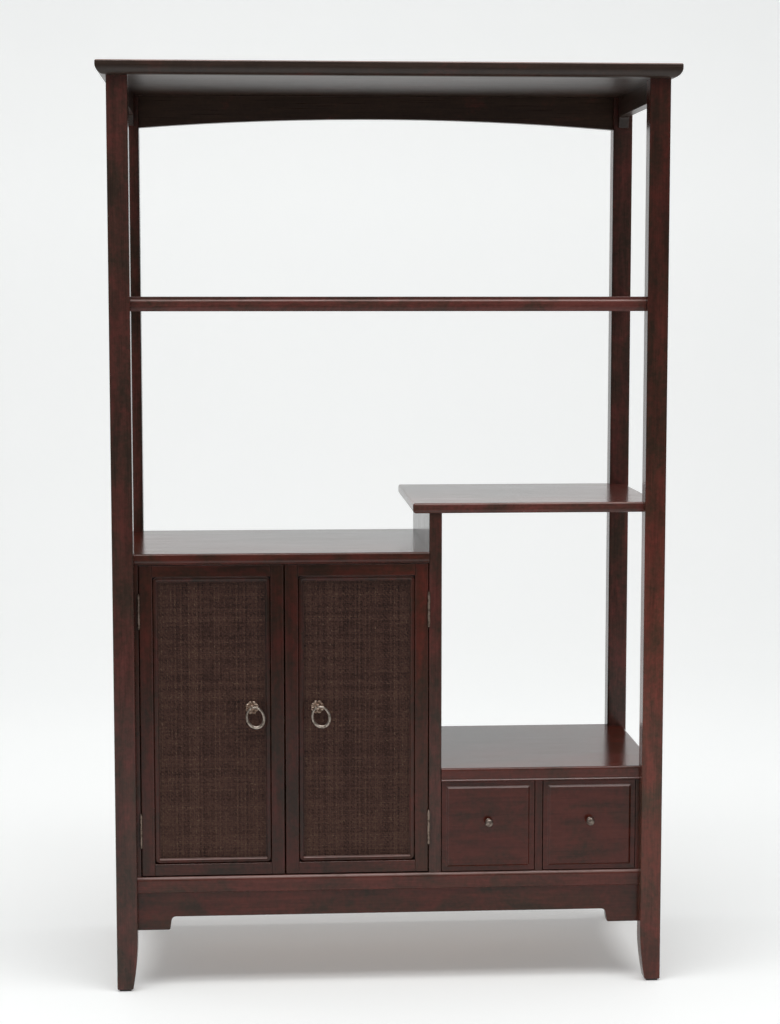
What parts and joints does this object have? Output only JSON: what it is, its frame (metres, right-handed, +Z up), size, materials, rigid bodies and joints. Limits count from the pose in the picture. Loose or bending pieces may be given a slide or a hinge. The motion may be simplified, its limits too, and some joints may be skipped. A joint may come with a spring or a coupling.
{
  "type": "open display cabinet",
  "caption": "Open display cabinet of dark lacquered wood with stepped shelves, cane-panelled cupboard doors on butt hinges with ring pulls, and low drawers with small knobs.",
  "frame": {"origin": "on the floor, under the middle of the top board", "axes": "+X to the viewer's right as the doors and drawers are faced, +Y to the back, +Z up"},
  "size_m": [0.99, 0.44, 1.6],
  "materials": {
    "lacquered_wood": "dark red-brown stained hardwood under gloss lacquer",
    "inner_wood": "plain oiled wood and plywood inside the case",
    "woven_cane": "finely woven split cane on a thin backing board, stained dark brown",
    "antique_brass": "worn pale antique brass",
    "steel": "plain zinc-coated steel",
    "dark_plastic": "matte dark brown plastic"
  },
  "bodies": {
    "root": {"top_board": "lacquered_wood", "upper_shelf": "lacquered_wood", "mid_shelf": "lacquered_wood", "cupboard_top": "lacquered_wood", "drawer_case_top": "lacquered_wood", "divider": "lacquered_wood", "bottom_front_rail": "lacquered_wood", "front_apron": "lacquered_wood", "lower_rear_rail": "lacquered_wood", "lower_left_rail": "lacquered_wood", "lower_right_rail": "lacquered_wood", "top_rear_apron": "lacquered_wood", "top_left_apron": "lacquered_wood", "top_right_apron": "lacquered_wood", "left_side_panel": "lacquered_wood", "right_side_panel": "lacquered_wood", "drawer_partition": "lacquered_wood", "left_hinge_strip": "lacquered_wood", "right_drawer_strip": "lacquered_wood", "post_front_left": "lacquered_wood", "post_front_right": "lacquered_wood", "post_rear_left": "lacquered_wood", "post_rear_right": "lacquered_wood", "bottom_board": "inner_wood", "cupboard_back": "inner_wood", "drawer_case_back": "inner_wood", "inner_shelf": "inner_wood", "drawer_guide": "inner_wood", "joint_tenons": "inner_wood", "shelf_cleats": "inner_wood", "foot_glides": "dark_plastic", "door_catches": "dark_plastic", "fixed_hinge_leaves": "antique_brass", "hinge_pins": "antique_brass"},
    "left_door": {"left_door_stiles": "lacquered_wood", "left_door_rails": "lacquered_wood", "left_door_panel": "woven_cane", "left_door_bead": "lacquered_wood", "left_door_hinge_leaves": "antique_brass", "left_strike_plate": "steel", "left_ring_plate": "antique_brass"},
    "left_ring": {"left_pull_ring": "antique_brass"},
    "left_drawer": {"left_drawer_front": "lacquered_wood", "left_drawer_sides": "inner_wood", "left_drawer_back": "inner_wood", "left_drawer_bottom": "inner_wood", "left_drawer_knob": "antique_brass"},
    "right_door": {"right_door_stiles": "lacquered_wood", "right_door_rails": "lacquered_wood", "right_door_panel": "woven_cane", "right_door_bead": "lacquered_wood", "right_door_hinge_leaves": "antique_brass", "right_strike_plate": "steel", "right_ring_plate": "antique_brass"},
    "right_ring": {"right_pull_ring": "antique_brass"},
    "right_drawer": {"right_drawer_front": "lacquered_wood", "right_drawer_sides": "inner_wood", "right_drawer_back": "inner_wood", "right_drawer_bottom": "inner_wood", "right_drawer_knob": "antique_brass"}
  },
  "joints": [
    {"name": "left_door_hinge", "type": "hinge", "parent": "root", "child": "left_door", "pos_m": [-0.43475, -0.1819, 0.4725], "axis": [0, 0, -1], "range_deg": [0, 95]},
    {"name": "right_door_hinge", "type": "hinge", "parent": "root", "child": "right_door", "pos_m": [0.06775, -0.1819, 0.4725], "axis": [0, 0, 1], "range_deg": [0, 95]},
    {"name": "left_ring_swing", "type": "hinge", "parent": "left_door", "child": "left_ring", "pos_m": [-0.2405, -0.185, 0.4959], "axis": [-1, 0, 0], "range_deg": [0, 90]},
    {"name": "right_ring_swing", "type": "hinge", "parent": "right_door", "child": "right_ring", "pos_m": [-0.1265, -0.185, 0.4959], "axis": [-1, 0, 0], "range_deg": [0, 90]},
    {"name": "left_drawer_slide", "type": "slide", "parent": "root", "child": "left_drawer", "axis": [0, -1, 0], "range_m": [0, 0.24]},
    {"name": "right_drawer_slide", "type": "slide", "parent": "root", "child": "right_drawer", "axis": [0, -1, 0], "range_m": [0, 0.24]}
  ]
}
